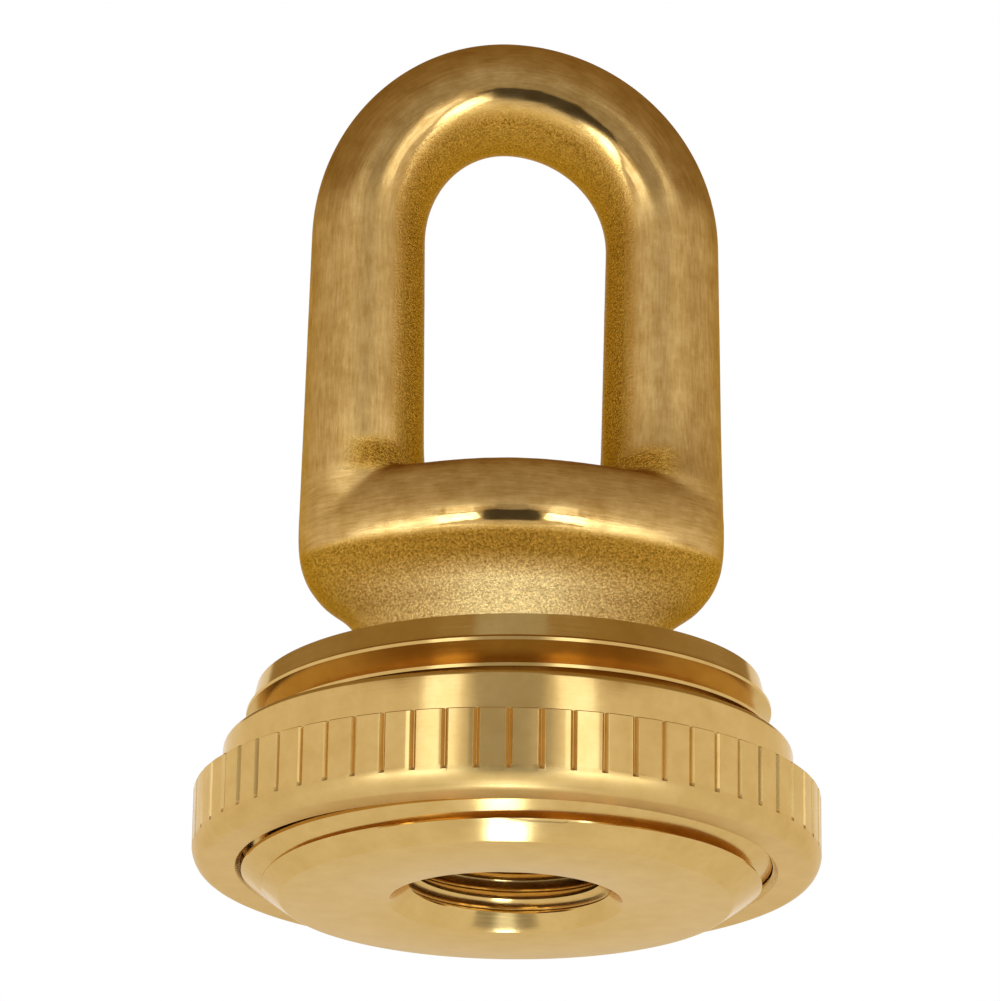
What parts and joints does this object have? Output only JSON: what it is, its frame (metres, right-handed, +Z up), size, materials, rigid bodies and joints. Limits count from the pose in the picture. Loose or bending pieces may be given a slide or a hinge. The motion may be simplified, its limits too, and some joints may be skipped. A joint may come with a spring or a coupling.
{
  "type": "screw collar loop",
  "caption": "Cast eye loop on a tapped, threaded collar with a fluted ring nut, for hanging a light fitting from a chain.",
  "frame": {"origin": "centre of the collar's flat end face, on the axis of the tapped hole", "axes": "+Z up along the collar's axis towards the crown of the bow; the bow lies in the XZ plane; +Y away from the picture's viewer"},
  "size_m": [0.0302, 0.0302, 0.0447],
  "materials": {
    "cast_brass": "cast and tumbled, uncoated, with the collar turned bright",
    "turned_brass": "turned, uncoated"
  },
  "bodies": {
    "loop": {"loop": "cast_brass"},
    "ring": {"ring": "turned_brass"}
  },
  "joints": [
    {"name": "ring_turn", "type": "hinge", "parent": "loop", "child": "ring", "pos_m": [0, 0, 0.0045], "axis": [0, 0, 1], "range_deg": [-420, 480]}
  ]
}
